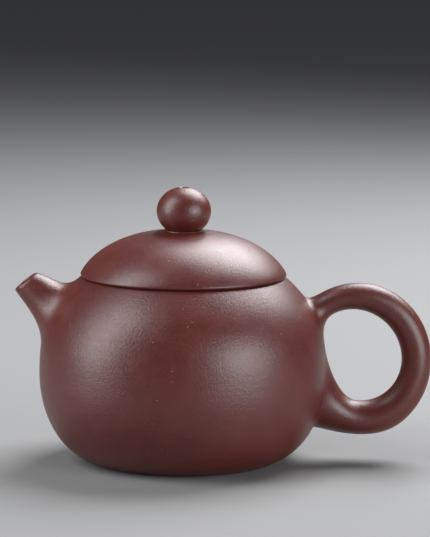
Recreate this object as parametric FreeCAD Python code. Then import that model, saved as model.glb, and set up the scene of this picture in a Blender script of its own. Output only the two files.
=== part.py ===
"""Round zisha clay teapot with a seated lid, a ball knob, a short spout and a ring handle.

Millimetres, +Z up. The origin is the centre of the resting ring, on the table. The spout
points along -X and the handle along +X. Every piece is one that the potter makes on its own
and joins with slip, so each is its own solid.
"""
import FreeCAD, Part
import math
import os
from FreeCAD import Vector

# Pot wall: outer meridian, from the resting ring up to the rim, as (radius, height).
BELLY_RADIUS = 45.0
BELLY_HEIGHT = 27.4
FOOT_RADIUS = 25.3
FOOT_SWELL = 12.2          # how far the meridian runs flat before it turns up
RIM_RADIUS = 31.6
RIM_HEIGHT = 58.2
SHOULDER_POLE = (43.9, 47.5)
WALL = 3.0
RIM_ROUND = 0.6

# Base disc, luted into the bottom of the wall and pressed in at its middle.
BASE_RADIUS = 20.0
BASE_EDGE_LIFT = 0.3
BASE_CENTRE_LIFT = 1.5
BASE_THICKNESS = 2.7
SEAL_SIDE = 13.0
SEAL_CORNER = 2.2
SEAL_DEPTH = 0.35

# Mouth ring, the flat collar inside the rim that the lid rests on.
MOUTH_RING_RADIUS = 29.5
MOUTH_RADIUS = 25.0
MOUTH_RING_THICKNESS = 3.0
MOUTH_ROUND = 0.5

# Lid.
LID_RADIUS = 32.2
LID_LIP_HEIGHT = 58.9
LID_TOP = 72.6
LID_SHOULDER_POLE = (25.6, 72.6)
LID_LIP_POLE_LIFT = 1.5
LID_DOME_THICKNESS = 3.0
LID_LIP_ROUND = 0.55
SEAT_DISC_RADIUS = 30.2
SEAT_DISC_THICKNESS = 2.5
FLANGE_CLEARANCE = 0.4
FLANGE_WALL = 3.0
FLANGE_DEPTH = 8.0
FLANGE_ROUND = 0.9

# Knob on the lid, with the slip ring that beds it and the vent that runs through it.
KNOB_RADIUS = 8.5
KNOB_HALF_HEIGHT = 7.67
KNOB_CENTRE_HEIGHT = 78.6
KNOB_NECK_ANGLE = -55.0
SLIP_RING_RADIUS = 5.55
SLIP_RING_SECTION = 0.75
VENT_RADIUS = 1.1
VENT_FLARE_RADIUS = 2.0

# Spout: lip ring in the plane y = 0, then the cone that it opens into.
SPOUT_LIP_CENTRE = Vector(-49.15, 0, 56.15)
SPOUT_LIP_TILT = 39.2      # degrees, fall of the mouth's plane away from the pot
SPOUT_LIP_RADIUS = 4.45
SPOUT_DROP = 35.0          # degrees, fall of the spout's axis towards the pot
SPOUT_SPREAD = 20.2        # degrees, half angle of the cone
SPOUT_ROOT_HEIGHTS = (57.6, 35.7)
SPOUT_ROOT_HALF_WIDTH = 14.0
SPOUT_LEAVE = (5.1, 6.0)   # length of the handles of each long curve, at the lip
SPOUT_LAND = (6.8, 7.0)    # and at the root, top line first

# Bore through the spout and the wall, and the ball strainer behind it.
BORE_DROP = 40.5
BORE_LIP_RADIUS = 3.0
BORE_ROOT_RADIUS = 6.2
BORE_LENGTH = 14.4
STRAINER_RADIUS = 8.2
STRAINER_WALL = 1.6
STRAINER_HOLE_RADIUS = 0.9
STRAINER_RINGS = ((0, 1), (24, 6), (46, 11), (66, 16))   # degrees off axis, holes

# Handle: a ring of varying section in the plane y = 0, flared at both roots.
HANDLE_CENTRE = Vector(53.6, 0, 32.9)
HANDLE_OUTSIDE = (24.03, -1.36, 1.02, -0.65, 0.11)   # reach of the outer line: mean, then
HANDLE_INSIDE = (14.27, 0.60, 1.03, -0.21, -0.71)    # parts in sin, cos, cos 2 and sin 2
HANDLE_HALF_WIDTH = (5.05, -0.5)       # mean, then the part in sin
HANDLE_UPPER_TURNS = (112.2, 105.3)    # degrees where the ring ends, outer line first
HANDLE_UPPER_HEIGHTS = (52.4, 37.4)    # foot on the pot
HANDLE_UPPER_HALF_WIDTH = 9.0
HANDLE_UPPER_LEAVE = (4.1, 3.8)
HANDLE_UPPER_LAND = (2.8, 7.2)
HANDLE_LOWER_TURNS = (-52.8, -86.4)
HANDLE_LOWER_HEIGHTS = (10.25, 36.3)
HANDLE_LOWER_HALF_WIDTH = 10.4
HANDLE_LOWER_LEAVE = (13.7, 4.9)
HANDLE_LOWER_LAND = (1.5, 7.1)

# How each limb is built.
RING_POINTS = 16
FLARE_RINGS = 6
TUBE_RINGS = 14
ROOT_BITE = 0.35           # part of each landing length by which a limb enters the wall
ROOT_DEPTH = 9.0           # depth of the flat ring that closes it, before it is trimmed

RIM_FALL = Vector(SHOULDER_POLE[0] - RIM_RADIUS, 0, SHOULDER_POLE[1] - RIM_HEIGHT)
Y_AXIS = Vector(0, 1, 0)
Z_AXIS = Vector(0, 0, 1)


def point(radius, height):
    """A point of a meridian, in the plane y = 0."""
    return Vector(radius, 0, height)


def bezier(*poles):
    curve = Part.BezierCurve()
    curve.setPoles([point(*pole) for pole in poles])
    return curve


def line(start, end):
    return Part.LineSegment(point(*start), point(*end))


def revolved(curves):
    """The solid that a closed meridian sweeps about the pot's axis."""
    wire = Part.Wire([curve.toShape() for curve in curves])
    solid = Part.Face(wire).revolve(Vector(0, 0, 0), Z_AXIS, 360)
    return solid if solid.Volume > 0 else solid.reversed()


def rounded(solid, radius, *rings):
    """Round the circular edges that lie at the given (radius, height) pairs."""
    edges = []
    for ring_radius, height in rings:
        for edge in solid.Edges:
            box = edge.BoundBox
            level = abs(box.ZMin - height) < 1e-3 and abs(box.ZMax - height) < 1e-3
            if level and abs(box.XMax - ring_radius) < 1e-3:
                edges.append(edge)
    return solid.makeFillet(radius, edges)


def lower_wall_curve(inset):
    """Meridian from the foot to the belly, moved inwards by inset."""
    foot_handle = FOOT_SWELL * (1 - inset / (BELLY_RADIUS - FOOT_RADIUS))
    belly = BELLY_RADIUS - inset
    return bezier((FOOT_RADIUS, inset), (FOOT_RADIUS + foot_handle, inset),
                  (belly, (BELLY_HEIGHT + inset) / 2), (belly, BELLY_HEIGHT))


def upper_wall_curve(top):
    """Meridian from the belly to the given top point; a thin wall's two faces share its form."""
    inset = WALL if top[0] < RIM_RADIUS else 0.0
    belly = BELLY_RADIUS - inset
    rise = (top[1] - BELLY_HEIGHT) / (RIM_HEIGHT - BELLY_HEIGHT)
    run = (belly - top[0]) / (BELLY_RADIUS - RIM_RADIUS)
    return bezier((belly, BELLY_HEIGHT), (belly, BELLY_HEIGHT + 11.5 * rise),
                  (top[0] + RIM_FALL.x * run, top[1] + RIM_FALL.z * rise), top)


OUTER_LOWER = lower_wall_curve(0.0)
OUTER_UPPER = upper_wall_curve((RIM_RADIUS, RIM_HEIGHT))
COLLAR_UNDERSIDE = RIM_HEIGHT - MOUTH_RING_THICKNESS
INNER_LOWER = lower_wall_curve(WALL)
INNER_UPPER = upper_wall_curve((31.0, COLLAR_UNDERSIDE))


def pot_envelope():
    """The pot's outside, filled solid: limbs are trimmed against it."""
    return revolved([line((0, 0), (FOOT_RADIUS, 0)), OUTER_LOWER, OUTER_UPPER,
                     line((RIM_RADIUS, RIM_HEIGHT), (0, RIM_HEIGHT)),
                     line((0, RIM_HEIGHT), (0, 0))])


def pot_cavity():
    """The space inside the wall, up to the underside of the mouth ring."""
    return revolved([line((0, WALL), (FOOT_RADIUS, WALL)), INNER_LOWER, INNER_UPPER,
                     line((31.0, COLLAR_UNDERSIDE), (0, COLLAR_UNDERSIDE)),
                     line((0, COLLAR_UNDERSIDE), (0, WALL))])


def lid_outline():
    """Upper edge of the lid's meridian, from the lip to the top."""
    return bezier((LID_RADIUS, LID_LIP_HEIGHT), (LID_RADIUS, LID_LIP_HEIGHT + LID_LIP_POLE_LIFT),
                  LID_SHOULDER_POLE, (0, LID_TOP))


def lid_envelope():
    """The lid's outside, filled solid down to the seat."""
    return revolved([line((0, RIM_HEIGHT), (LID_RADIUS, RIM_HEIGHT)),
                     line((LID_RADIUS, RIM_HEIGHT), (LID_RADIUS, LID_LIP_HEIGHT)),
                     lid_outline(), line((0, LID_TOP), (0, RIM_HEIGHT))])


def make_body_wall(bore):
    wall = revolved([
        line((BASE_RADIUS, 0), (FOOT_RADIUS, 0)), OUTER_LOWER, OUTER_UPPER,
        line((RIM_RADIUS, RIM_HEIGHT), (MOUTH_RING_RADIUS, RIM_HEIGHT)),
        line((MOUTH_RING_RADIUS, RIM_HEIGHT), (MOUTH_RING_RADIUS, COLLAR_UNDERSIDE)),
        line((MOUTH_RING_RADIUS, COLLAR_UNDERSIDE), (31.0, COLLAR_UNDERSIDE)),
        INNER_UPPER, INNER_LOWER,
        line((FOOT_RADIUS, WALL), (BASE_RADIUS, WALL)),
        line((BASE_RADIUS, WALL), (BASE_RADIUS, 0))])
    return rounded(wall, RIM_ROUND, (RIM_RADIUS, RIM_HEIGHT)).cut(bore)


def make_base_disc():
    """Disc with a pressed-in underside and a blank, sunk seal patch at its middle."""
    rise = BASE_CENTRE_LIFT - BASE_EDGE_LIFT
    curve_radius = (BASE_RADIUS ** 2 + rise ** 2) / (2 * rise)
    curve_centre = BASE_CENTRE_LIFT - curve_radius
    underside = Part.makeSphere(curve_radius, point(0, curve_centre))
    inside = Part.makeSphere(curve_radius, point(0, curve_centre + BASE_THICKNESS))
    blank = Part.makeCylinder(BASE_RADIUS, BASE_CENTRE_LIFT + BASE_THICKNESS)
    corner = Vector(-SEAL_SIDE / 2, -SEAL_SIDE / 2, 0)
    patch = Part.makeBox(SEAL_SIDE, SEAL_SIDE, BASE_CENTRE_LIFT + SEAL_DEPTH, corner)
    uprights = [edge for edge in patch.Edges if edge.BoundBox.ZLength > SEAL_DEPTH]
    return blank.common(inside).cut(underside).cut(patch.makeFillet(SEAL_CORNER, uprights))


def make_mouth_ring():
    ring = Part.makeCylinder(MOUTH_RING_RADIUS, MOUTH_RING_THICKNESS, point(0, COLLAR_UNDERSIDE))
    mouth = Part.makeCylinder(MOUTH_RADIUS, MOUTH_RING_THICKNESS, point(0, COLLAR_UNDERSIDE))
    return rounded(ring.cut(mouth), MOUTH_ROUND,
                   (MOUTH_RADIUS, RIM_HEIGHT), (MOUTH_RADIUS, COLLAR_UNDERSIDE))


def make_lid_dome(vent):
    ledge = RIM_HEIGHT + SEAT_DISC_THICKNESS
    hollow_radius = SEAT_DISC_RADIUS - 2.0
    crown = LID_TOP - LID_DOME_THICKNESS
    dome = revolved([
        line((SEAT_DISC_RADIUS, RIM_HEIGHT), (LID_RADIUS, RIM_HEIGHT)),
        line((LID_RADIUS, RIM_HEIGHT), (LID_RADIUS, LID_LIP_HEIGHT)),
        lid_outline(), line((0, LID_TOP), (0, crown)),
        bezier((0, crown), (LID_SHOULDER_POLE[0] - LID_DOME_THICKNESS, crown),
               (hollow_radius, ledge + 1.0), (hollow_radius, ledge)),
        line((hollow_radius, ledge), (SEAT_DISC_RADIUS, ledge)),
        line((SEAT_DISC_RADIUS, ledge), (SEAT_DISC_RADIUS, RIM_HEIGHT))])
    return rounded(dome, LID_LIP_ROUND, (LID_RADIUS, RIM_HEIGHT)).cut(vent)


def make_lid_seat_disc(flange_inside):
    disc = Part.makeCylinder(SEAT_DISC_RADIUS, SEAT_DISC_THICKNESS, point(0, RIM_HEIGHT))
    return disc.cut(Part.makeCylinder(flange_inside, SEAT_DISC_THICKNESS, point(0, RIM_HEIGHT)))


def make_lid_flange(flange_inside):
    outside = MOUTH_RADIUS - FLANGE_CLEARANCE
    bottom = RIM_HEIGHT - FLANGE_DEPTH
    tube = Part.makeCylinder(outside, FLANGE_DEPTH, point(0, bottom))
    tube = tube.cut(Part.makeCylinder(flange_inside, FLANGE_DEPTH, point(0, bottom)))
    return rounded(tube, FLANGE_ROUND, (outside, bottom), (flange_inside, bottom))


def knob_outline(start, end):
    """Part of the ball's meridian, between two angles from its equator, in degrees."""
    first, last = math.radians(start), math.radians(end)
    reach = 4 / 3 * math.tan((last - first) / 4)
    poles = []
    for turn, along in ((first, 0), (first, reach), (last, -reach), (last, 0)):
        across = math.cos(turn) - along * math.sin(turn)
        rise = math.sin(turn) + along * math.cos(turn)
        poles.append((KNOB_RADIUS * across, KNOB_CENTRE_HEIGHT + KNOB_HALF_HEIGHT * rise))
    return bezier(*poles)


def knob_ball():
    """Flattened ball, with a straight neck that runs down into the lid."""
    lower = knob_outline(KNOB_NECK_ANGLE, 0)
    neck = lower.value(0)
    top = KNOB_CENTRE_HEIGHT + KNOB_HALF_HEIGHT
    root = LID_TOP - 2 * SLIP_RING_SECTION
    return revolved([line((0, root), (neck.x, root)), line((neck.x, root), (neck.x, neck.z)),
                     lower, knob_outline(0, 90), line((0, top), (0, root))])


def make_knob(vent):
    return knob_ball().cut(lid_envelope()).cut(vent)


def make_knob_slip_ring():
    ring = Part.makeTorus(SLIP_RING_RADIUS, SLIP_RING_SECTION, point(0, LID_TOP))
    return ring.cut(lid_envelope()).cut(knob_ball())


def make_vent():
    """Drill for the vent: straight through the knob, flared under the lid's crown."""
    crown = LID_TOP - LID_DOME_THICKNESS
    drill = Part.makeCylinder(VENT_RADIUS, 3 * KNOB_RADIUS, point(0, crown))
    flare = Part.makeCone(VENT_FLARE_RADIUS, VENT_RADIUS, LID_DOME_THICKNESS, point(0, crown))
    return drill.fuse(flare)


def wall_point(height):
    """Radius and outward slope of the pot's outside at a height, by halving the curve."""
    curve = OUTER_UPPER if height > BELLY_HEIGHT else OUTER_LOWER
    low, high = 0.0, 1.0
    for _ in range(40):
        middle = (low + high) / 2
        if curve.value(middle).z < height:
            low = middle
        else:
            high = middle
    direction = curve.tangent(low)[0]
    return curve.value(low).x, direction.x / direction.z


def foot_point(side, heights, half_width, angle):
    """Point and outward normal on the pot's wall, at an angle round a limb's oval foot."""
    middle = (heights[0] + heights[1]) / 2
    reach = (heights[0] - heights[1]) / 2
    height = middle + reach * math.cos(angle)
    across = half_width * math.sin(angle)
    radius, slope = wall_point(height)
    place = Vector(side * math.sqrt(radius ** 2 - across ** 2), across, height)
    normal = Vector(place.x, place.y, -radius * slope)
    return place, normal.normalize()


def mixed(pair, angle):
    """A value that is pair[0] on a limb's first line, pair[1] on the line opposite."""
    return (pair[0] + pair[1]) / 2 + (pair[0] - pair[1]) / 2 * math.cos(angle)


def flare(start_ring, side, heights, half_width, leave, land):
    """Rings of points from a limb's end down into the wall, along curves that land on it.

    start_ring(angle) gives a point and the direction in which the limb leaves it. Beside the
    rings comes a flat one, to close the limb well inside the wall, where it is trimmed away.
    """
    centre, axis = foot_point(side, heights, 0.0, math.pi / 2)
    rings = [[] for _ in range(FLARE_RINGS)]
    buried = []
    for index in range(RING_POINTS):
        angle = 2 * math.pi * index / RING_POINTS
        start, direction = start_ring(angle)
        foot, normal = foot_point(side, heights, half_width, angle)
        inward = centre - foot
        inward = (inward - normal * inward.dot(normal)).normalize()
        landing = mixed(land, angle)
        curve = Part.BezierCurve()
        curve.setPoles([start, start + direction * mixed(leave, angle),
                        foot + inward * landing, foot - normal * landing * ROOT_BITE])
        for step in range(FLARE_RINGS):
            rings[step].append(curve.value((step + 1) / FLARE_RINGS))
        buried.append(foot - axis * ((foot - centre).dot(axis) + ROOT_DEPTH))
    return rings, buried


def ring_curve(ring):
    """Closed curve through a ring of points, which all rings run round in step."""
    curve = Part.BSplineCurve()
    curve.interpolate(Points=ring, PeriodicFlag=True,
                      Parameters=[float(index) for index in range(RING_POINTS + 1)])
    return curve


def skin_face(rings):
    """Smooth face through rings of points that run round in step."""
    curves = [ring_curve(ring) for ring in rings]
    places = [0.0]
    for before, after in zip(rings, rings[1:]):
        gap = sum(a.distanceToPoint(b) for a, b in zip(before, after)) / RING_POINTS
        places.append(places[-1] + gap)
    lines = []
    for column in zip(*[curve.getPoles() for curve in curves]):
        line_through = Part.BSplineCurve()
        line_through.interpolate(Points=list(column), Parameters=places)
        lines.append(line_through)
    along = lines[0]
    surface = Part.BSplineSurface()
    surface.buildFromPolesMultsKnots(
        [line_through.getPoles() for line_through in lines],
        curves[0].getMultiplicities(), along.getMultiplicities(),
        curves[0].getKnots(), along.getKnots(), True, False, 3, 3)
    return surface.toShape()


def limb_solid(rings, first_cap, last_cap):
    """Smooth skin through the rings, closed at each end by a flat ring.

    A cap that is not one of the rings is joined to its end by straight lines.
    """
    faces = [skin_face(rings)]
    for cap, end in ((first_cap, rings[0]), (last_cap, rings[-1])):
        flat = ring_curve(cap).toShape()
        if cap is not end:
            faces.append(Part.makeRuledSurface(ring_curve(end).toShape(), flat))
        faces.append(Part.Face(Part.Wire(flat)))
    shell = Part.Shell(faces)
    shell.sewShape()
    solid = Part.Solid(shell)
    return solid if solid.Volume > 0 else solid.reversed()


def spout_lip(angle):
    """Point on the spout's lip, and the direction of the cone's side there."""
    tilt = math.radians(SPOUT_LIP_TILT)
    drop = math.radians(SPOUT_DROP)
    spread = math.radians(SPOUT_SPREAD)
    back = Vector(math.cos(tilt), 0, math.sin(tilt)) * math.cos(angle)
    place = SPOUT_LIP_CENTRE + (back + Y_AXIS * math.sin(angle)) * SPOUT_LIP_RADIUS
    along = Vector(math.cos(drop), 0, -math.sin(drop))
    away = Vector(math.sin(drop), 0, math.cos(drop)) * math.cos(angle) + Y_AXIS * math.sin(angle)
    return place, along * math.cos(spread) + away * math.sin(spread)


def make_spout(bore):
    lip = [spout_lip(2 * math.pi * i / RING_POINTS)[0] for i in range(RING_POINTS)]
    rings, buried = flare(spout_lip, -1, SPOUT_ROOT_HEIGHTS, SPOUT_ROOT_HALF_WIDTH,
                          SPOUT_LEAVE, SPOUT_LAND)
    return limb_solid([lip] + rings, lip, buried).cut(pot_envelope()).cut(bore)


def bore_axis():
    drop = math.radians(BORE_DROP)
    return Vector(math.cos(drop), 0, -math.sin(drop))


def make_bore():
    """Cone through the spout and the wall, run on a little past both ends."""
    taper = (BORE_ROOT_RADIUS - BORE_LIP_RADIUS) / BORE_LENGTH
    overrun = 3.0
    return Part.makeCone(BORE_LIP_RADIUS - taper * overrun, BORE_ROOT_RADIUS + taper * overrun,
                         BORE_LENGTH + 2 * overrun, SPOUT_LIP_CENTRE - bore_axis() * overrun,
                         bore_axis())


def make_strainer_dome():
    """Half ball over the spout's bore, inside the wall, drilled in rings."""
    centre = SPOUT_LIP_CENTRE + bore_axis() * BORE_LENGTH
    ball = Part.makeSphere(STRAINER_RADIUS, centre)
    hollow = Part.makeSphere(STRAINER_RADIUS - STRAINER_WALL, centre)
    dome = ball.cut(hollow).common(pot_cavity())
    upward = Y_AXIS.cross(bore_axis())
    drills = []
    for tilt, count in STRAINER_RINGS:
        for index in range(count):
            turn = 2 * math.pi * index / count
            away = upward * math.cos(turn) + Y_AXIS * math.sin(turn)
            tilt_angle = math.radians(tilt)
            axis = bore_axis() * math.cos(tilt_angle) + away * math.sin(tilt_angle)
            start = centre + axis * (STRAINER_RADIUS - 2 * STRAINER_WALL)
            drills.append(Part.makeCylinder(STRAINER_HOLE_RADIUS, 3 * STRAINER_WALL, start, axis))
    return dome.cut(drills)


def handle_reach(parts, turn):
    waves = (1, math.sin(turn), math.cos(turn), math.cos(2 * turn), math.sin(2 * turn))
    return sum(part * wave for part, wave in zip(parts, waves))


def handle_point(turn, angle):
    """Point on the handle's skin: turn goes round the ring, angle round its section."""
    outward = Vector(math.cos(turn), 0, math.sin(turn))
    lines = (handle_reach(HANDLE_OUTSIDE, turn), handle_reach(HANDLE_INSIDE, turn))
    half_width = HANDLE_HALF_WIDTH[0] + HANDLE_HALF_WIDTH[1] * math.sin(turn)
    return HANDLE_CENTRE + outward * mixed(lines, angle) + Y_AXIS * (half_width * math.sin(angle))


def handle_end(turns, sense):
    """Start of a flare: a point on the handle's skin, and the way the skin runs on from it."""
    def end(angle):
        turn = math.radians(mixed(turns, angle))
        place = handle_point(turn, angle)
        return place, (handle_point(turn + sense * 1e-4, angle) - place).normalize()
    return end


def make_handle():
    upper, upper_cap = flare(handle_end(HANDLE_UPPER_TURNS, 1), 1, HANDLE_UPPER_HEIGHTS,
                             HANDLE_UPPER_HALF_WIDTH, HANDLE_UPPER_LEAVE, HANDLE_UPPER_LAND)
    lower, lower_cap = flare(handle_end(HANDLE_LOWER_TURNS, -1), 1, HANDLE_LOWER_HEIGHTS,
                             HANDLE_LOWER_HALF_WIDTH, HANDLE_LOWER_LEAVE, HANDLE_LOWER_LAND)
    tube = []
    for step in range(TUBE_RINGS + 1):
        share = step / TUBE_RINGS
        ring = []
        for index in range(RING_POINTS):
            angle = 2 * math.pi * index / RING_POINTS
            start, end = mixed(HANDLE_UPPER_TURNS, angle), mixed(HANDLE_LOWER_TURNS, angle)
            ring.append(handle_point(math.radians(start + (end - start) * share), angle))
        tube.append(ring)
    return limb_solid(upper[::-1] + tube + lower, upper_cap, lower_cap).cut(pot_envelope())


def export(name, shape):
    solids = shape.Solids
    assert shape.isValid(), name + " is not a valid shape"
    assert len(solids) == 1, name + " is not one solid"
    solids[0].exportStep(os.path.join("parts", name + ".step"))
    box = shape.BoundBox
    print("%-16s %9.1f mm3  x %6.1f %6.1f  y %6.1f %6.1f  z %6.1f %6.1f" % (
        name, shape.Volume, box.XMin, box.XMax, box.YMin, box.YMax, box.ZMin, box.ZMax))


def main():
    os.makedirs("parts", exist_ok=True)
    bore = make_bore()
    vent = make_vent()
    flange_inside = MOUTH_RADIUS - FLANGE_CLEARANCE - FLANGE_WALL
    export("body_wall", make_body_wall(bore))
    export("base_disc", make_base_disc())
    export("mouth_ring", make_mouth_ring())
    export("spout", make_spout(bore))
    export("strainer_dome", make_strainer_dome())
    export("handle", make_handle())
    export("lid_dome", make_lid_dome(vent))
    export("lid_seat_disc", make_lid_seat_disc(flange_inside))
    export("lid_flange", make_lid_flange(flange_inside))
    export("knob", make_knob(vent))
    export("knob_slip_ring", make_knob_slip_ring())


main()
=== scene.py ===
"""A round zisha teapot: burnished wall, cone spout, ring handle, domed lid and ball knob.

Metres throughout. Turned pieces are meridians that a node tree sweeps about the pot's axis;
the spout and the handle are skins of long curves that land flush on the wall.
"""
import math

import bmesh
import bpy
from mathutils import Matrix, Vector


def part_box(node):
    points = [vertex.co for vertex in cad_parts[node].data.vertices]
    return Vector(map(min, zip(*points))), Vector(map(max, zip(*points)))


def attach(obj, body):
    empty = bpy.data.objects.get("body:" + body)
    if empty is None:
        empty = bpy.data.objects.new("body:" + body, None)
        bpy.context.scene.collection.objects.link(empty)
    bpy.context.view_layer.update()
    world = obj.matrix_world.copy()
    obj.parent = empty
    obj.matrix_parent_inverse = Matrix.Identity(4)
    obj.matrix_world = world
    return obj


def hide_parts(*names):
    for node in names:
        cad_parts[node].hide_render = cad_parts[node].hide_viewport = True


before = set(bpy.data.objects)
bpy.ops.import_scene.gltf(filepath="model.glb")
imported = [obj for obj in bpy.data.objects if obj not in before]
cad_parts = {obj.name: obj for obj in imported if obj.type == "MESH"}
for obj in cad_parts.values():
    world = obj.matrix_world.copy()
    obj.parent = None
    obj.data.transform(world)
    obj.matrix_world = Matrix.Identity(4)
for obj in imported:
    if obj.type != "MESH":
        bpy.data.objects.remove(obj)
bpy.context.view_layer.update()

MM = 0.001
UP = Vector((0, 0, 1))
ACROSS = Vector((0, 1, 0))

# Sizes that the frame holds.
wall_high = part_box("body_wall")[1]
collar_low, collar_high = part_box("mouth_ring")
disc_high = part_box("base_disc")[1]
dome_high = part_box("lid_dome")[1]
bearing_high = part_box("lid_seat_disc")[1]
flange_low, flange_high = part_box("lid_flange")
knob_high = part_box("knob")[1]

# Wall.
BELLY_RADIUS = wall_high.x
RIM_HEIGHT = wall_high.z
BELLY_HEIGHT = 27.4 * MM
FOOT_RADIUS = 25.3 * MM
FOOT_SWELL = 12.2 * MM
RIM_RADIUS = 31.6 * MM
SHOULDER = (43.9 * MM, 47.5 * MM)
SHOULDER_RISE = 11.5 * MM
WALL = 3.0 * MM
RIM_ROUND = 1.1 * MM
COLLAR_UNDERSIDE = collar_low.z
COLLAR_RADIUS = collar_high.x
INNER_TOP_RADIUS = 31.0 * MM

# Lid and knob.
LID_RADIUS = 32.2 * MM
LID_LIP_HEIGHT = 58.9 * MM
LID_TOP = dome_high.z
KNOB_RADIUS = knob_high.x
KNOB_TOP = knob_high.z
KNOB_CENTRE = 78.6 * MM
VENT_RADIUS = 1.1 * MM
VENT_FLARE = 2.0 * MM
QUARTER_HANDLE = 0.5523    # handle length of a quarter circle, per unit radius


# --------------------------------------------------------------------------- node graphs

class Value:
    """An output socket that takes part in sums, so that node maths reads as an expression."""

    def __init__(self, graph, socket):
        self.graph = graph
        self.socket = socket

    def __add__(self, other):
        return self.graph.maths("ADD", self, other)

    def __sub__(self, other):
        return self.graph.maths("SUBTRACT", self, other)

    def __rsub__(self, other):
        return self.graph.maths("SUBTRACT", other, self)

    def __mul__(self, other):
        return self.graph.maths("MULTIPLY", self, other)

    def __gt__(self, other):
        return self.graph.maths("GREATER_THAN", self, other)

    __radd__ = __add__
    __rmul__ = __mul__


class Graph:
    """A node tree that is filled one node at a time."""

    def __init__(self, tree):
        self.tree = tree

    def node(self, kind, settings=(), inputs=()):
        """Add a node: settings first, then a value or a link for each named or numbered socket."""
        made = self.tree.nodes.new(kind)
        for name, value in dict(settings).items():
            setattr(made, name, value)
        for name, value in dict(inputs).items():
            several = value if isinstance(value, list) else [value]
            for item in several:
                if isinstance(item, Value):
                    self.tree.links.new(item.socket, made.inputs[name])
                else:
                    made.inputs[name].default_value = item
        return made

    def value(self, kind, settings=(), inputs=(), output=0):
        """Add a node and return one of its outputs."""
        return Value(self, self.node(kind, settings, inputs).outputs[output])

    def maths(self, operation, *terms):
        return self.value("ShaderNodeMath", {"operation": operation}, dict(enumerate(terms)))

    def soft_step(self, term, low, high):
        """0 below low and 1 above high, or the other way round if low is the larger."""
        return self.value("ShaderNodeMapRange", {"interpolation_type": "SMOOTHSTEP"},
                          {"Value": term, "From Min": low, "From Max": high})

    def mixed(self, share, first, second):
        """A colour between two others."""
        return self.value("ShaderNodeMix", {"data_type": "RGBA"}, {0: share, 6: first, 7: second},
                          output=2)


# --------------------------------------------------------------------------- clay

def srgb(red, green, blue):
    """A colour given in display values from 0 to 255, as the shader takes it."""
    linear = []
    for channel in (red, green, blue):
        share = channel / 255
        linear.append(share / 12.92 if share < 0.04045 else ((share + 0.055) / 1.055) ** 2.4)
    return (*linear, 1.0)


def clay(name, deep, pale, roughness, tooth):
    """Fired zisha: two close browns, sand grain, sparse pale and iron specks, and fine pits, sunk
    by the bump and darkened with painted shade.

    tooth is the height of the sand grain; burnished faces have little and raw ones more.
    """
    material = bpy.data.materials.new(name)
    material.use_nodes = True
    material.node_tree.nodes.clear()
    graph = Graph(material.node_tree)
    place = graph.value("ShaderNodeTexCoord", output="Object")

    def noise(size, detail=2.0):
        return graph.value("ShaderNodeTexNoise", (),
                           {"Vector": place, "Scale": 1 / size, "Detail": detail})

    def dots(size, share, radius):
        """Round dots of a given spacing: only this share of the cells has one."""
        cell = graph.node("ShaderNodeTexVoronoi", (), {"Vector": place, "Scale": 1 / size})
        chance = graph.value("ShaderNodeSeparateColor", (),
                             {"Color": Value(graph, cell.outputs["Color"])})
        middle = graph.soft_step(Value(graph, cell.outputs["Distance"]), radius, radius * 0.4)
        return middle * (chance > 1 - share)

    drift = noise(38 * MM, 1.0)
    mottle = noise(5 * MM, 3.0)
    grain = noise(0.7 * MM, 3.0)
    dust = noise(0.22 * MM, 1.0)
    strokes = graph.value("ShaderNodeTexNoise", (), {
        "Vector": graph.value("ShaderNodeMapping", (), {"Vector": place, "Scale": (1, 1, 14)}),
        "Scale": 1 / (16 * MM), "Detail": 3.0})
    pale_specks = dots(1.5 * MM, 0.10, 0.16)
    iron_specks = dots(2.3 * MM, 0.07, 0.13)
    # pit mask: it sinks the bump, roughens the surface and carries the pits' painted shade
    shaded_pits = dots(2.9 * MM, 0.16, 0.10)

    share = 0.55 * drift + 0.45 * mottle + 0.25 * (grain - 0.5)
    tone = graph.mixed(graph.soft_step(share, 0.25, 0.75), deep, pale)
    tone = graph.mixed(pale_specks * 0.5, tone, srgb(168, 120, 100))
    tone = graph.mixed(iron_specks * 0.6, tone, srgb(38, 20, 18))
    # painted shade: a dark colour in each pit stands in for the shade inside it
    tone = graph.mixed(shaded_pits * 0.55, tone, srgb(34, 16, 13))

    gloss = roughness + 0.14 * (grain - 0.5) + 0.10 * (mottle - 0.5) + 0.05 * (strokes - 0.5)
    gloss = gloss + 0.2 * shaded_pits
    height = 0.60 * grain + 0.30 * dust + 0.25 * strokes + 0.5 * pale_specks - 2.2 * shaded_pits
    bump = graph.value("ShaderNodeBump", (), {"Strength": 1.0, "Distance": tooth,
                                              "Height": height})
    shader = graph.value("ShaderNodeBsdfPrincipled", (), {
        "Base Color": tone, "Roughness": gloss, "Normal": bump, "IOR": 1.5,
        "Specular IOR Level": 0.75})
    graph.node("ShaderNodeOutputMaterial", (), {"Surface": shader})
    return material


burnished = clay("burnished clay", srgb(77, 23, 16), srgb(95, 33, 24), 0.40, 0.12 * MM)
raw = clay("raw clay", srgb(80, 29, 21), srgb(98, 41, 31), 0.70, 0.12 * MM)


# --------------------------------------------------------------------------- turned pieces

def add_inputs(tree, sockets):
    tree.interface.new_socket("Form", in_out="INPUT", socket_type="NodeSocketGeometry")
    for name, kind in sockets:
        tree.interface.new_socket(name, in_out="INPUT", socket_type=kind)
    tree.interface.new_socket("Form", in_out="OUTPUT", socket_type="NodeSocketGeometry")


def group_inputs(graph):
    made = graph.node("NodeGroupInput")
    return {socket.name: Value(graph, socket) for socket in made.outputs if socket.name}


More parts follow.
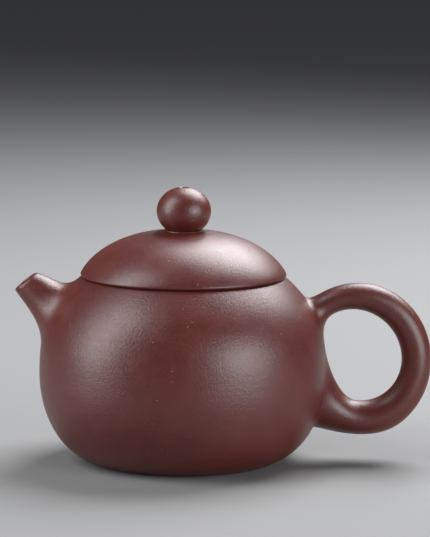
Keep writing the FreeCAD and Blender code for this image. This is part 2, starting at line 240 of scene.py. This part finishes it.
def turning_tree():
    """Sweeps a meridian, drawn in x and y, about the pot's axis."""
    tree = bpy.data.node_groups.new("turned about the axis", "GeometryNodeTree")
    add_inputs(tree, [("Steps round", "NodeSocketInt"), ("Wheel radius", "NodeSocketFloat"),
                      ("Clay", "NodeSocketMaterial")])
    graph = Graph(tree)
    given = group_inputs(graph)
    wheel = graph.value("GeometryNodeCurvePrimitiveCircle", {"mode": "RADIUS"},
                        {"Resolution": given["Steps round"], "Radius": given["Wheel radius"]})
    offset = graph.value("ShaderNodeCombineXYZ", (), {"X": 0.0 - given["Wheel radius"]})
    section = graph.value("GeometryNodeTransform", (),
                          {"Geometry": given["Form"], "Translation": offset,
                           "Scale": (1.0, -1.0, 1.0)})
    swept = graph.value("GeometryNodeCurveToMesh", (),
                        {"Curve": wheel, "Profile Curve": section})
    closed = graph.value("GeometryNodeMergeByDistance", (),
                         {"Geometry": swept, "Distance": 0.0001 * MM})
    real = graph.value("GeometryNodeRealizeInstances", (), {"Geometry": closed})
    faced = graph.value("GeometryNodeSetMaterial", (),
                        {"Geometry": real, "Material": given["Clay"]})
    graph.node("NodeGroupOutput", (), {"Form": faced})
    return tree


def hand_tree():
    """Moves a finished form in and out a little, as hand burnishing leaves it."""
    tree = bpy.data.node_groups.new("hand finished", "GeometryNodeTree")
    add_inputs(tree, [("Depth", "NodeSocketFloat"), ("Spacing", "NodeSocketFloat"),
                      ("Clay", "NodeSocketMaterial")])
    graph = Graph(tree)
    given = group_inputs(graph)
    place = graph.value("GeometryNodeInputPosition")
    seed = 7.0
    swell = graph.value("ShaderNodeTexNoise", {"noise_dimensions": "4D"}, {
        "Vector": place, "W": seed, "Scale": graph.maths("DIVIDE", 1.0, given["Spacing"]),
        "Detail": 1.0})
    travel = (swell - 0.5) * given["Depth"]
    offset = graph.value("ShaderNodeVectorMath", {"operation": "SCALE"},
                         {"Vector": graph.value("GeometryNodeInputNormal"), "Scale": travel})
    moved = graph.value("GeometryNodeSetPosition", (),
                        {"Geometry": given["Form"], "Offset": offset})
    real = graph.value("GeometryNodeRealizeInstances", (), {"Geometry": moved})
    faced = graph.value("GeometryNodeSetMaterial", (),
                        {"Geometry": real, "Material": given["Clay"]})
    graph.node("NodeGroupOutput", (), {"Form": faced})
    return tree


TURNING = turning_tree()
HAND = hand_tree()


def use_tree(thing, tree, **values):
    """Put a node tree on an object, with its inputs set by the sockets' identifiers."""
    modifier = thing.modifiers.new(tree.name, "NODES")
    modifier.node_group = tree
    for socket in tree.interface.items_tree:
        key = socket.name.lower().replace(" ", "_")
        if socket.in_out == "INPUT" and key in values:
            modifier[socket.identifier] = values[key]


def settle(thing, name):
    """A plain object from an evaluated one: closed, facing outwards, smooth with crisp corners."""
    bpy.context.view_layer.update()
    evaluated = thing.evaluated_get(bpy.context.evaluated_depsgraph_get())
    mesh = bpy.data.meshes.new_from_object(evaluated)
    bpy.data.objects.remove(thing)
    form = bmesh.new()
    form.from_mesh(mesh)
    bmesh.ops.remove_doubles(form, verts=form.verts, dist=0.0001 * MM)
    bmesh.ops.recalc_face_normals(form, faces=form.faces)
    form.to_mesh(mesh)
    form.free()
    mesh.name = name
    mesh.shade_smooth()
    mesh.set_sharp_from_angle(angle=math.radians(40))
    piece = bpy.data.objects.new(name, mesh)
    bpy.context.scene.collection.objects.link(piece)
    return piece


def meridian(start, *moves):
    """Bezier outline as (radius, height): each move is a point, or two handles and a point."""
    knots = [[Vector(start), None, None]]
    for move in moves:
        before = knots[-1][0]
        if isinstance(move[0], tuple):
            leave, arrive, end = (Vector(pair) for pair in move)
        else:
            end = Vector(move)
            leave, arrive = before.lerp(end, 1 / 3), before.lerp(end, 2 / 3)
        knots[-1][2] = leave
        knots.append([end, arrive, None])
    closed = (knots[-1][0] - knots[0][0]).length < 0.0001 * MM
    if closed:
        knots[0][1] = knots.pop()[1]
    return knots, closed


def corner(before, turn, after):
    """A move that rounds off a corner."""
    start, middle, end = Vector(before), Vector(turn), Vector(after)
    return tuple(start.lerp(middle, 0.55)), tuple(end.lerp(middle, 0.55)), tuple(end)


def turned(name, outline, steps_along, material, steps_round=192, depth=0.07 * MM):
    """A piece of revolution from its outline."""
    knots, closed = outline
    curve = bpy.data.curves.new(name, "CURVE")
    curve.dimensions = "3D"
    curve.resolution_u = steps_along
    spline = curve.splines.new("BEZIER")
    spline.bezier_points.add(len(knots) - 1)
    spline.use_cyclic_u = closed
    for point, (place, arrive, leave) in zip(spline.bezier_points, knots):
        point.handle_left_type = point.handle_right_type = "FREE"
        point.co = (*place, 0)
        point.handle_left = (*(arrive or place), 0)
        point.handle_right = (*(leave or place), 0)
    thing = bpy.data.objects.new(name, curve)
    bpy.context.scene.collection.objects.link(thing)
    use_tree(thing, TURNING, steps_round=steps_round, wheel_radius=10 * MM, clay=material)
    use_tree(thing, HAND, depth=depth, spacing=15 * MM, clay=material)
    return settle(thing, name)


def cut_away(piece, tool):
    """Take the tool's form out of a piece, then drop the tool."""
    cut = piece.modifiers.new("cut", "BOOLEAN")
    cut.operation = "DIFFERENCE"
    cut.solver = "EXACT"
    cut.object = tool
    made = settle(piece, piece.name)
    bpy.data.objects.remove(tool)
    return made


def finish_piece(piece, body, node):
    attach(piece, body)
    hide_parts(node)


# --------------------------------------------------------------------------- the pot's wall

def lower_poles(inset):
    foot_handle = FOOT_SWELL * (1 - inset / (BELLY_RADIUS - FOOT_RADIUS))
    belly = BELLY_RADIUS - inset
    return ((FOOT_RADIUS, inset), (FOOT_RADIUS + foot_handle, inset),
            (belly, (BELLY_HEIGHT + inset) / 2), (belly, BELLY_HEIGHT))


def upper_poles(inset, top):
    belly = BELLY_RADIUS - inset
    rise = (top[1] - BELLY_HEIGHT) / (RIM_HEIGHT - BELLY_HEIGHT)
    run = (belly - top[0]) / (BELLY_RADIUS - RIM_RADIUS)
    shoulder = (top[0] + (SHOULDER[0] - RIM_RADIUS) * run,
                top[1] + (SHOULDER[1] - RIM_HEIGHT) * rise)
    return ((belly, BELLY_HEIGHT), (belly, BELLY_HEIGHT + SHOULDER_RISE * rise), shoulder, top)


OUTER_LOWER = lower_poles(0.0)
RIM_DROP = Vector(SHOULDER) - Vector((RIM_RADIUS, RIM_HEIGHT))
RIM_EDGE = tuple(Vector((RIM_RADIUS, RIM_HEIGHT)) + RIM_DROP.normalized() * RIM_ROUND)
OUTER_UPPER = upper_poles(0.0, (RIM_RADIUS, RIM_HEIGHT))


def on_curve(poles, share):
    """Point and direction of a cubic curve."""
    a, b, c, d = (Vector(pole) for pole in poles)
    ab, bc, cd = a.lerp(b, share), b.lerp(c, share), c.lerp(d, share)
    first, second = ab.lerp(bc, share), bc.lerp(cd, share)
    return first.lerp(second, share), second - first


def wall_shell():
    inner_lower = lower_poles(WALL)
    inner_upper = upper_poles(WALL, (INNER_TOP_RADIUS, COLLAR_UNDERSIDE))
    rim_flat = RIM_RADIUS - RIM_ROUND
    disc_radius = disc_high.x
    foot_round = 0.5 * MM
    outline = meridian(
        (disc_radius, foot_round),
        corner((disc_radius, foot_round), (disc_radius, 0), (disc_radius + foot_round, 0)),
        (FOOT_RADIUS, 0),
        OUTER_LOWER[1:], upper_to_rim(),
        corner(RIM_EDGE, (RIM_RADIUS, RIM_HEIGHT), (rim_flat, RIM_HEIGHT)),
        (COLLAR_RADIUS, RIM_HEIGHT), (COLLAR_RADIUS, COLLAR_UNDERSIDE),
        (INNER_TOP_RADIUS, COLLAR_UNDERSIDE),
        (inner_upper[2], inner_upper[1], inner_upper[0]),
        (inner_lower[2], inner_lower[1], inner_lower[0]),
        (disc_radius, WALL), (disc_radius, foot_round))
    return turned("wall_shell", outline, 26, burnished, steps_round=224)


def upper_to_rim():
    """The shoulder's curve, stopped where the rim starts to round."""
    share = 1 - RIM_ROUND / (3 * RIM_DROP.length)
    a, b, c, d = (Vector(pole) for pole in OUTER_UPPER)
    ab, bc, cd = a.lerp(b, share), b.lerp(c, share), c.lerp(d, share)
    first, second = ab.lerp(bc, share), bc.lerp(cd, share)
    return tuple(ab), tuple(first), tuple(first.lerp(second, share))


def foot_disc():
    """Pressed-in base with a blank, sunk seal patch."""
    edge_lift = 0.3 * MM
    centre_lift = 1.5 * MM
    thick = disc_high.z - centre_lift
    reach = disc_high.x
    lift = centre_lift - edge_lift
    outline = meridian(
        (0, centre_lift), ((reach / 3, centre_lift), (2 * reach / 3, centre_lift - 2 * lift / 3),
                           (reach, edge_lift)),
        (reach, edge_lift + thick),
        ((2 * reach / 3, centre_lift + thick - 2 * lift / 3), (reach / 3, centre_lift + thick),
         (0, centre_lift + thick)))
    disc = turned("foot_disc", outline, 18, raw, steps_round=128)
    return cut_away(disc, seal_block(13.0 * MM, 2.2 * MM, centre_lift + 0.35 * MM))


def seal_block(side, round_radius, top):
    """A square block with rounded uprights, to press the blank seal patch."""
    form = bmesh.new()
    flat = side / 2 - round_radius
    middle = Vector((flat, flat, 0))
    corner_steps = 8
    low, high = [], []
    for quarter in range(4):
        for step in range(corner_steps + 1):
            turn = math.pi / 2 * (step / corner_steps)
            spot = middle + Vector((math.cos(turn), math.sin(turn), 0)) * round_radius
            spot.rotate(Matrix.Rotation(math.pi / 2 * quarter, 3, "Z"))
            low.append(form.verts.new(spot - UP * 5 * MM))
            high.append(form.verts.new(spot + UP * top))
    form.faces.new(low[::-1])
    form.faces.new(high)
    for index in range(len(low)):
        after = (index + 1) % len(low)
        form.faces.new((low[index], low[after], high[after], high[index]))
    mesh = bpy.data.meshes.new("seal_block")
    form.to_mesh(mesh)
    form.free()
    block = bpy.data.objects.new("seal_block", mesh)
    bpy.context.scene.collection.objects.link(block)
    return block


def mouth_collar():
    mouth = 25.0 * MM
    soft = 0.6 * MM
    outline = meridian(
        (mouth, COLLAR_UNDERSIDE + soft), (mouth, RIM_HEIGHT - soft),
        corner((mouth, RIM_HEIGHT - soft), (mouth, RIM_HEIGHT), (mouth + soft, RIM_HEIGHT)),
        (COLLAR_RADIUS, RIM_HEIGHT), (COLLAR_RADIUS, COLLAR_UNDERSIDE),
        (mouth + soft, COLLAR_UNDERSIDE),
        corner((mouth + soft, COLLAR_UNDERSIDE), (mouth, COLLAR_UNDERSIDE),
               (mouth, COLLAR_UNDERSIDE + soft)))
    return turned("mouth_collar", outline, 6, raw, depth=0.0)


# --------------------------------------------------------------------------- the lid

def lid_crown():
    ledge = bearing_high.z
    bearing = bearing_high.x
    crown = LID_TOP - 3.0 * MM
    hollow = bearing - 2.0 * MM
    under = 31.4 * MM
    outline = meridian(
        (VENT_RADIUS, LID_TOP), (VENT_FLARE, crown),
        ((22.6 * MM, crown), (hollow, ledge + 1.0 * MM), (hollow, ledge)),
        (bearing, ledge), (bearing, RIM_HEIGHT), (under, RIM_HEIGHT),
        corner((under, RIM_HEIGHT), (LID_RADIUS, RIM_HEIGHT), (LID_RADIUS, LID_LIP_HEIGHT)),
        ((LID_RADIUS, LID_LIP_HEIGHT + 0.6 * MM), (25.6 * MM, LID_TOP), (VENT_RADIUS, LID_TOP)))
    return turned("lid_crown", outline, 26, burnished)


def lid_bearing():
    inside = flange_high.x - 3.0 * MM
    outline = meridian((inside, RIM_HEIGHT), (bearing_high.x, RIM_HEIGHT),
                       (bearing_high.x, bearing_high.z), (inside, bearing_high.z),
                       (inside, RIM_HEIGHT))
    return turned("lid_bearing", outline, 3, raw, depth=0.0)


def lid_collar():
    outside = flange_high.x
    inside = outside - 3.0 * MM
    bottom = flange_low.z
    soft = 0.9 * MM
    outline = meridian(
        (outside, RIM_HEIGHT), (outside, bottom + soft),
        corner((outside, bottom + soft), (outside, bottom), (outside - soft, bottom)),
        (inside + soft, bottom),
        corner((inside + soft, bottom), (inside, bottom), (inside, bottom + soft)),
        (inside, RIM_HEIGHT), (outside, RIM_HEIGHT))
    return turned("lid_collar", outline, 6, raw, depth=0.0)


def ball_knob():
    """Flattened ball; the vent comes out at its top."""
    half_height = KNOB_TOP - KNOB_CENTRE
    neck_turn = math.radians(-55)
    top_turn = math.radians(90) - VENT_RADIUS * 1.6 / KNOB_RADIUS

    def ball(turn):
        return KNOB_RADIUS * math.cos(turn), KNOB_CENTRE + half_height * math.sin(turn)

    def arc(start, end):
        """Handles and end point of an arc of the ball's outline."""
        reach = 4 / 3 * math.tan((end - start) / 4)
        first, last = ball(start), ball(end)
        leave = (first[0] - reach * KNOB_RADIUS * math.sin(start),
                 first[1] + reach * half_height * math.cos(start))
        arrive = (last[0] + reach * KNOB_RADIUS * math.sin(end),
                  last[1] - reach * half_height * math.cos(end))
        return leave, arrive, last

    neck = ball(neck_turn)
    crest = ball(top_turn)
    vent_edge = (VENT_RADIUS, crest[1] - 0.5 * MM)
    root = LID_TOP - 1.5 * MM
    outline = meridian(
        (VENT_RADIUS, root), (neck[0], root), neck,
        arc(neck_turn, 0.0), arc(0.0, top_turn),
        corner(crest, (VENT_RADIUS, crest[1]), vent_edge), (VENT_RADIUS, root))
    return turned("ball_knob", outline, 20, burnished, steps_round=128)


def knob_bead():
    """The ring of slip that beds the knob, sunk until little of it shows."""
    middle = 5.55 * MM
    bed = LID_TOP - 0.3 * MM
    section = 0.45 * MM
    bow = QUARTER_HANDLE * section
    outline = meridian(
        (middle + section, bed),
        ((middle + section, bed + bow), (middle + bow, bed + section), (middle, bed + section)),
        ((middle - bow, bed + section), (middle - section, bed + bow), (middle - section, bed)),
        ((middle - section, bed - bow), (middle - bow, bed - section), (middle, bed - section)),
        ((middle + bow, bed - section), (middle + section, bed - bow), (middle + section, bed)))
    return turned("knob_bead", outline, 10, burnished, steps_round=128, depth=0.12 * MM)


# --------------------------------------------------------------------------- limbs

ROUND = 80                 # points round a limb
FLARE_STEPS = 30


def wall_point(height):
    """Radius of the wall's outside at a height, and how fast it changes."""
    poles = OUTER_UPPER if height > BELLY_HEIGHT else OUTER_LOWER
    low, high = 0.0, 1.0
    for _ in range(36):
        middle = (low + high) / 2
        if on_curve(poles, middle)[0].y < height:
            low = middle
        else:
            high = middle
    place, direction = on_curve(poles, low)
    return place.x, direction.x / direction.y


def foot_point(side, heights, half_width, angle, grow=0.0):
    """Point and outward normal on the wall, at an angle round a limb's oval foot."""
    middle = (heights[0] + heights[1]) / 2
    reach = (heights[0] - heights[1]) / 2
    height = middle + (reach + math.copysign(grow, reach)) * math.cos(angle)
    across = (half_width + grow) * math.sin(angle)
    radius, slope = wall_point(height)
    place = Vector((side * math.sqrt(radius ** 2 - across ** 2), across, height))
    return place, Vector((place.x, place.y, -radius * slope)).normalized()


def across_limb(pair, angle):
    """pair[0] on a limb's first line, pair[1] on the line opposite."""
    return (pair[0] + pair[1]) / 2 + (pair[0] - pair[1]) / 2 * math.cos(angle)


def cubic(a, b, c, d, share):
    rest = 1 - share
    return (a * rest ** 3 + b * 3 * rest ** 2 * share + c * 3 * rest * share ** 2
            + d * share ** 3)


def flare(end, side, heights, half_width, leave, land):
    """Rings from a limb's end to the wall, along curves that land flush, then tucked under."""
    centre = foot_point(side, heights, 0.0, math.pi / 2)[0]
    rings = [[] for _ in range(FLARE_STEPS)]
    tucked, buried = [], []
    for index in range(ROUND):
        angle = 2 * math.pi * index / ROUND
        start, direction = end(angle)
        foot, normal = foot_point(side, heights, half_width, angle)
        inward = centre - foot
        inward = (inward - normal * inward.dot(normal)).normalized()
        poles = (start, start + direction * across_limb(leave, angle),
                 foot + inward * across_limb(land, angle), foot)
        for step, ring in enumerate(rings):
            ring.append(cubic(*poles, (step + 1) / FLARE_STEPS))
        wide, wide_normal = foot_point(side, heights, half_width, angle, grow=0.5 * MM)
        tucked.append(wide - wide_normal * 0.08 * MM)
        buried.append(wide - wide_normal * 1.2 * MM)
    return rings + [tucked, buried]


def skin(name, rings, looped):
    """A closed form through rings of points; a looped one joins its last ring to its first."""
    form = bmesh.new()
    rows = [[form.verts.new(point) for point in ring] for ring in rings]
    pairs = list(zip(rows, rows[1:]))
    if looped:
        pairs.append((rows[-1], rows[0]))
    for first, second in pairs:
        for index in range(ROUND):
            after = (index + 1) % ROUND
            form.faces.new((first[index], first[after], second[after], second[index]))
    if not looped:
        for row in (rows[0], rows[-1]):
            hub = form.verts.new(sum((vert.co for vert in row), Vector()) / ROUND)
            for index in range(ROUND):
                form.faces.new((row[index], row[(index + 1) % ROUND], hub))
    mesh = bpy.data.meshes.new(name)
    form.to_mesh(mesh)
    form.free()
    thing = bpy.data.objects.new(name, mesh)
    bpy.context.scene.collection.objects.link(thing)
    use_tree(thing, HAND, depth=0.07 * MM, spacing=15 * MM, clay=burnished)
    return settle(thing, name)


# Spout: a lip ring, and the cone that it opens into.
SPOUT_LIP = Vector((-48.95, 0, 55.9)) * MM
SPOUT_LIP_TILT = math.radians(39.2)
SPOUT_LIP_RADIUS = 4.45 * MM
SPOUT_DROP = math.radians(35.0)
SPOUT_SPREAD = math.radians(20.2)
SPOUT_ROOT_HEIGHTS = (57.6 * MM, 35.7 * MM)    # top line first, here and below
SPOUT_ROOT_HALF_WIDTH = 14.0 * MM
SPOUT_LEAVE = (5.1 * MM, 6.0 * MM)             # how far each curve runs straight at the lip
SPOUT_LAND = (6.8 * MM, 7.0 * MM)              # and at the wall
BORE_DROP = math.radians(40.5)
BORE_LIP_RADIUS = 3.0 * MM
BORE_ROOT_RADIUS = 6.2 * MM
BORE_LENGTH = 14.4 * MM
BORE_AXIS = Vector((math.cos(BORE_DROP), 0, -math.sin(BORE_DROP)))
BORE_ROOT = SPOUT_LIP + BORE_AXIS * BORE_LENGTH
LIP_BACK = Vector((math.cos(SPOUT_LIP_TILT), 0, math.sin(SPOUT_LIP_TILT)))


def spout_end(angle):
    """Point on the spout's outer lip and the direction of its side there."""
    place = (SPOUT_LIP + LIP_BACK * SPOUT_LIP_RADIUS * math.cos(angle)
             + ACROSS * SPOUT_LIP_RADIUS * math.sin(angle))
    along = Vector((math.cos(SPOUT_DROP), 0, -math.sin(SPOUT_DROP)))
    away = Vector((math.sin(SPOUT_DROP), 0, math.cos(SPOUT_DROP))) * math.cos(angle)
    away = away + ACROSS * math.sin(angle)
    return place, along * math.cos(SPOUT_SPREAD) + away * math.sin(SPOUT_SPREAD)


def bore_ring(share):
    """Ring of the bore, from the lip at 0 to the wall at 1."""
    back = LIP_BACK.lerp(BORE_AXIS.cross(ACROSS), share).normalized()
    radius = BORE_LIP_RADIUS + (BORE_ROOT_RADIUS - BORE_LIP_RADIUS) * share
    centre = SPOUT_LIP + BORE_AXIS * BORE_LENGTH * share
    return [centre + (back * math.cos(2 * math.pi * i / ROUND)
                      + ACROSS * math.sin(2 * math.pi * i / ROUND)) * radius
            for i in range(ROUND)]


def spout_skin():
    outside = [spout_end(2 * math.pi * i / ROUND) for i in range(ROUND)]
    inside = bore_ring(0.0)
    bulge = 0.9 * MM
    lip_steps = 10
    rolled = []
    for step in range(lip_steps + 1):
        share = step / lip_steps
        rolled.append([cubic(inner, inner - BORE_AXIS * bulge, outer - side * bulge, outer, share)
                       for inner, (outer, side) in zip(inside, outside)])
    reach = 0.86           # the bore's sleeve ends within the wall
    bore_steps = 12
    bore = [bore_ring(reach * (1 - step / bore_steps)) for step in range(bore_steps)]
    flared = flare(spout_end, -1, SPOUT_ROOT_HEIGHTS, SPOUT_ROOT_HALF_WIDTH,
                   SPOUT_LEAVE, SPOUT_LAND)
    return skin("spout_skin", bore + rolled + flared, looped=True)


def cone(name, start, start_radius, end, end_radius):
    """A plain cone for drilling, 96 sides."""
    form = bmesh.new()
    axis = end - start
    turn = UP.rotation_difference(axis).to_matrix().to_4x4()
    bmesh.ops.create_cone(form, cap_ends=True, segments=96, radius1=start_radius,
                          radius2=end_radius, depth=axis.length,
                          matrix=Matrix.Translation((start + end) / 2) @ turn)
    mesh = bpy.data.meshes.new(name)
    form.to_mesh(mesh)
    form.free()
    thing = bpy.data.objects.new(name, mesh)
    bpy.context.scene.collection.objects.link(thing)
    return thing


# Handle: a ring of varying section, flared at both roots.
HANDLE_CENTRE = Vector((53.6, 0, 32.9)) * MM
HANDLE_OUTSIDE = (24.03, -1.36, 1.02, -0.65, 0.11)   # reach of the outer line in mm: mean,
HANDLE_INSIDE = (14.27, 0.60, 1.03, -0.21, -0.71)    # then parts in sin, cos, cos 2, sin 2
UPPER_TURNS = (112.2, 105.3)                         # degrees where the ring ends
UPPER_HEIGHTS = (52.4 * MM, 37.4 * MM)
UPPER_HALF_WIDTH = 9.0 * MM
UPPER_LEAVE = (4.1 * MM, 3.8 * MM)
UPPER_LAND = (2.8 * MM, 7.2 * MM)
LOWER_TURNS = (-52.8, -86.4)
LOWER_HEIGHTS = (10.25 * MM, 36.3 * MM)
LOWER_HALF_WIDTH = 10.4 * MM
LOWER_LEAVE = (13.7 * MM, 4.9 * MM)
LOWER_LAND = (1.5 * MM, 7.1 * MM)


def handle_reach(parts, turn):
    waves = (1, math.sin(turn), math.cos(turn), math.cos(2 * turn), math.sin(2 * turn))
    return sum(part * wave for part, wave in zip(parts, waves)) * MM


def handle_point(turn, angle):
    """Point on the handle's skin: turn goes round the ring, angle round its section."""
    outward = Vector((math.cos(turn), 0, math.sin(turn)))
    lines = (handle_reach(HANDLE_OUTSIDE, turn), handle_reach(HANDLE_INSIDE, turn))
    wide = (5.05 - 0.5 * math.sin(turn)) * MM
    return HANDLE_CENTRE + outward * across_limb(lines, angle) + ACROSS * wide * math.sin(angle)


def handle_end(turns, sense):
    """Start of a flare: a point on the handle's skin, and the way the skin runs on from it."""
    def end(angle):
        turn = math.radians(across_limb(turns, angle))
        place = handle_point(turn, angle)
        return place, (handle_point(turn + sense * 1e-3, angle) - place).normalized()
    return end


def ring_handle():
    upper = flare(handle_end(UPPER_TURNS, 1), 1, UPPER_HEIGHTS, UPPER_HALF_WIDTH,
                  UPPER_LEAVE, UPPER_LAND)
    lower = flare(handle_end(LOWER_TURNS, -1), 1, LOWER_HEIGHTS, LOWER_HALF_WIDTH,
                  LOWER_LEAVE, LOWER_LAND)
    tube_steps = 110
    tube = []
    for step in range(tube_steps + 1):
        ring = []
        for index in range(ROUND):
            angle = 2 * math.pi * index / ROUND
            start, end = across_limb(UPPER_TURNS, angle), across_limb(LOWER_TURNS, angle)
            turn = math.radians(start + (end - start) * step / tube_steps)
            ring.append(handle_point(turn, angle))
        tube.append(ring)
    return skin("ring_handle", upper[::-1] + tube + lower, looped=False)


# --------------------------------------------------------------------------- strainer

STRAINER_RINGS = ((0, 1), (24, 6), (46, 11), (66, 16))   # degrees off the axis, holes


def strainer_tree():
    """Half ball with a drilled hole wherever its rings of drills stand."""
    tree = bpy.data.node_groups.new("drilled strainer", "GeometryNodeTree")
    add_inputs(tree, [("Radius", "NodeSocketFloat"), ("Thickness", "NodeSocketFloat"),
                      ("Hole radius", "NodeSocketFloat"), ("Clay", "NodeSocketMaterial")])
    graph = Graph(tree)
    given = group_inputs(graph)

    def ball(radius):
        return graph.value("GeometryNodeMeshUVSphere", (),
                           {"Segments": 64, "Rings": 40, "Radius": radius})

    rings = []
    for tilt, count in STRAINER_RINGS:
        height = given["Radius"] * math.cos(math.radians(tilt))
        lift = graph.value("ShaderNodeCombineXYZ", (), {"Z": height})
        if count == 1:
            circle = graph.value("GeometryNodeMeshLine", (), {"Count": 1})
        else:
            circle = graph.value("GeometryNodeMeshCircle", {"fill_type": "NONE"}, {
                "Vertices": count, "Radius": given["Radius"] * math.sin(math.radians(tilt))})
        rings.append(graph.value("GeometryNodeTransform", (),
                                 {"Geometry": circle, "Translation": lift}))
    spots = graph.value("GeometryNodeJoinGeometry", (), {"Geometry": rings})
    facing = graph.value("FunctionNodeAlignRotationToVector", {"axis": "Z"},
                         {"Vector": graph.value("GeometryNodeInputPosition")})
    drill = graph.value("GeometryNodeMeshCylinder", (), {
        "Vertices": 20, "Radius": given["Hole radius"], "Depth": given["Thickness"] * 4.0})
    drills = graph.value("GeometryNodeInstanceOnPoints", (),
                         {"Points": spots, "Instance": drill, "Rotation": facing})
    drills = graph.value("GeometryNodeRealizeInstances", (), {"Geometry": drills})
    block = graph.value("GeometryNodeMeshCube", (),
                        {"Size": graph.value("ShaderNodeCombineXYZ", (), {
                            "X": given["Radius"] * 4.0, "Y": given["Radius"] * 4.0,
                            "Z": given["Radius"] * 4.0})})
    drop = graph.value("ShaderNodeCombineXYZ", (), {"Z": given["Radius"] * -2.12})
    block = graph.value("GeometryNodeTransform", (), {"Geometry": block, "Translation": drop})
    hollow = ball(given["Radius"] - given["Thickness"])
    bored = graph.value("GeometryNodeMeshBoolean",
                        {"operation": "DIFFERENCE", "solver": "EXACT"},
                        {"Mesh 1": ball(given["Radius"]), "Mesh 2": [hollow, block]})
    drilled = graph.value("GeometryNodeMeshBoolean",
                          {"operation": "DIFFERENCE", "solver": "EXACT"},
                          {"Mesh 1": bored, "Mesh 2": drills})
    real = graph.value("GeometryNodeRealizeInstances", (), {"Geometry": drilled})
    faced = graph.value("GeometryNodeSetMaterial", (),
                        {"Geometry": real, "Material": given["Clay"]})
    graph.node("NodeGroupOutput", (), {"Form": faced})
    return tree


def ball_strainer():
    mesh = bpy.data.meshes.new("ball_strainer")
    thing = bpy.data.objects.new("ball_strainer", mesh)
    bpy.context.scene.collection.objects.link(thing)
    use_tree(thing, strainer_tree(), radius=8.2 * MM, thickness=1.6 * MM, hole_radius=0.9 * MM,
             clay=raw)
    piece = settle(thing, "ball_strainer")
    turn = UP.rotation_difference(BORE_AXIS).to_matrix().to_4x4()
    piece.data.transform(Matrix.Translation(BORE_ROOT) @ turn)
    return piece


# --------------------------------------------------------------------------- assemble

def build():
    wall = wall_shell()
    taper = (BORE_ROOT_RADIUS - BORE_LIP_RADIUS) / BORE_LENGTH
    overrun = 4 * MM
    spare = 0.15 * MM
    drill = cone("drill", SPOUT_LIP + BORE_AXIS * BORE_LENGTH * 0.5,
                 (BORE_LIP_RADIUS + BORE_ROOT_RADIUS) / 2 + spare,
                 BORE_ROOT + BORE_AXIS * overrun, BORE_ROOT_RADIUS + taper * overrun + spare)
    wall = cut_away(wall, drill)
    finish_piece(wall, "pot", "body_wall")
    finish_piece(foot_disc(), "pot", "base_disc")
    finish_piece(mouth_collar(), "pot", "mouth_ring")
    finish_piece(spout_skin(), "pot", "spout")
    finish_piece(ball_strainer(), "pot", "strainer_dome")
    finish_piece(ring_handle(), "pot", "handle")
    finish_piece(lid_crown(), "lid", "lid_dome")
    finish_piece(lid_bearing(), "lid", "lid_seat_disc")
    finish_piece(lid_collar(), "lid", "lid_flange")
    finish_piece(ball_knob(), "lid", "knob")
    finish_piece(knob_bead(), "lid", "knob_slip_ring")


# --------------------------------------------------------------------------- stage

POT_MIDDLE = Vector((0, 0, 40 * MM))
LAMP_DISTANCE = 0.9
LAMP_TONE = (0.95, 0.97, 1.0)


def softbox(name, azimuth, elevation, width, height, strength):
    """A lamp that faces the pot: azimuth 0 is towards the camera, 90 to the right."""
    lamp = bpy.data.lights.new(name, "AREA")
    lamp.shape = "RECTANGLE"
    lamp.size = width
    lamp.size_y = height
    lamp.energy = strength * width * height * math.pi
    lamp.color = LAMP_TONE
    thing = bpy.data.objects.new(name, lamp)
    bpy.context.scene.collection.objects.link(thing)
    turn, lift = math.radians(azimuth), math.radians(elevation)
    away = Vector((math.sin(turn) * math.cos(lift), -math.cos(turn) * math.cos(lift),
                   math.sin(lift)))
    place = away * LAMP_DISTANCE + POT_MIDDLE
    thing.location = place
    thing.rotation_euler = (POT_MIDDLE - place).to_track_quat("-Z", "Y").to_euler()


def light():
    softbox("left softbox", -74, 30, 0.4, 1.15, 6.8)
    softbox("right softbox", 49, 8, 0.58, 0.55, 7.2)
    softbox("high softbox", 145, 51, 0.68, 0.66, 10.2)
    world = bpy.data.worlds.new("room")
    world.use_nodes = True
    sky = world.node_tree.nodes["Background"]
    sky.inputs["Color"].default_value = (0.9, 0.93, 1.0, 1.0)
    sky.inputs["Strength"].default_value = 0.09
    bpy.context.scene.world = world


def floor():
    form = bmesh.new()
    bmesh.ops.create_grid(form, x_segments=8, y_segments=8, size=6.0)
    mesh = bpy.data.meshes.new("floor")
    form.to_mesh(mesh)
    form.free()
    material = bpy.data.materials.new("pale floor")
    material.use_nodes = True
    shader = material.node_tree.nodes["Principled BSDF"]
    shader.inputs["Base Color"].default_value = srgb(140, 139, 138)
    shader.inputs["Roughness"].default_value = 0.8
    mesh.materials.append(material)
    thing = bpy.data.objects.new("floor", mesh)
    bpy.context.scene.collection.objects.link(thing)


def camera():
    """Long lens, a little above the pot; the pan, tilt and roll frame it left of the middle."""
    distance = 950 * MM
    elevation = math.radians(9.29)
    pan = math.radians(0.604)
    tilt = math.radians(1.223)
    roll = math.radians(0.371)
    lens = bpy.data.cameras.new("camera")
    lens.sensor_width = 36.0
    lens.lens = 202.97
    eye = bpy.data.objects.new("camera", lens)
    bpy.context.scene.collection.objects.link(eye)
    forward = Vector((0, math.cos(elevation), -math.sin(elevation)))
    level = Vector((1, 0, 0))
    above = level.cross(forward)
    right = level * math.cos(roll) + above * math.sin(roll)
    above = above * math.cos(roll) - level * math.sin(roll)
    ahead = (forward + right * math.tan(pan) + above * math.tan(tilt)).normalized()
    right = (right - ahead * right.dot(ahead)).normalized()
    above = right.cross(ahead)
    turn = Matrix((right, above, -ahead)).transposed().to_4x4()
    eye.matrix_world = Matrix.Translation(POT_MIDDLE - forward * distance) @ turn
    lens.clip_start = 0.05
    lens.clip_end = 30.0
    bpy.context.scene.camera = eye


camera()
build()
floor()
light()
bpy.context.scene.view_settings.view_transform = "Standard"
